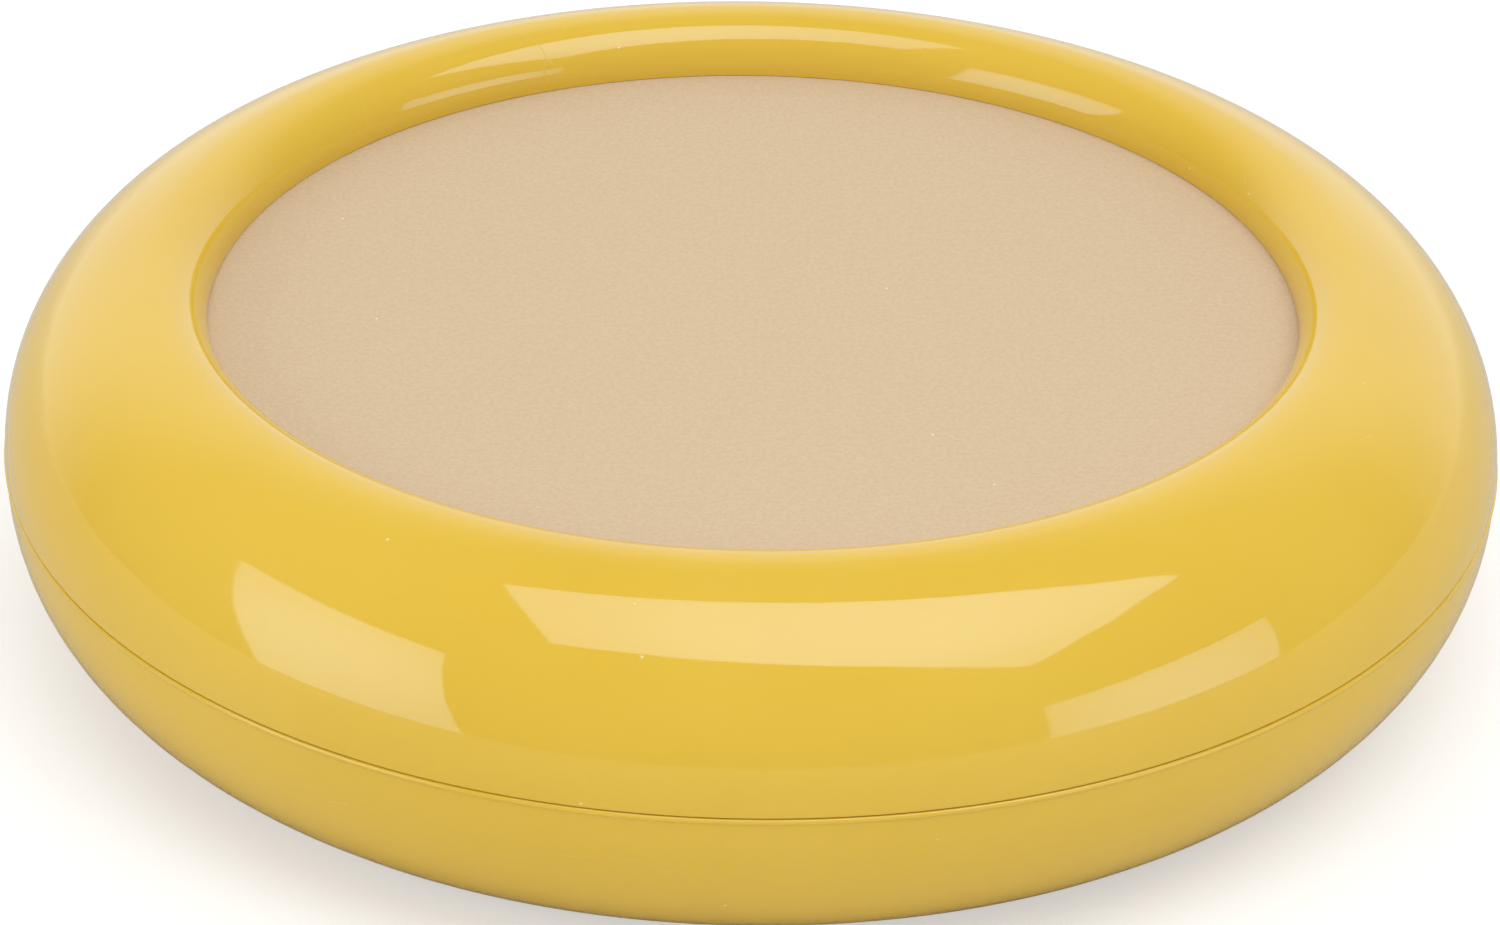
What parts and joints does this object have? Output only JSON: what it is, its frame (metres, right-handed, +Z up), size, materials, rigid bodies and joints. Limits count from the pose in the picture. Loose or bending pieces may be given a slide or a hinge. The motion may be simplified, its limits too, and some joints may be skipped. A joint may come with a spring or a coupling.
{
  "type": "round case",
  "caption": "Round split case in glossy yellow plastic with a fat rounded rim and a matte tan membrane set into each face; the upper shell lifts off.",
  "frame": {"origin": "centre of the case's underside, on the plane that the lower shell's foot rests on", "axes": "+Z up along the axis that every piece is round about; X and Y lie in the plane of the foot, and no direction among them is special"},
  "size_m": [0.12, 0.12, 0.0304],
  "materials": {
    "yellow_plastic": "polished, moulded in colour",
    "membrane": "matte, fine grain",
    "seal": "matte"
  },
  "bodies": {
    "base": {"lower_shell": "yellow_plastic", "lower_membrane": "membrane", "lower_clamp_ring": "yellow_plastic", "seal_ring": "seal"},
    "lid": {"upper_shell": "yellow_plastic", "upper_membrane": "membrane", "upper_clamp_ring": "yellow_plastic"}
  },
  "joints": [
    {"name": "lid_lift", "type": "slide", "parent": "base", "child": "lid", "axis": [0, 0, 1], "range_m": [0, 0.05]}
  ]
}
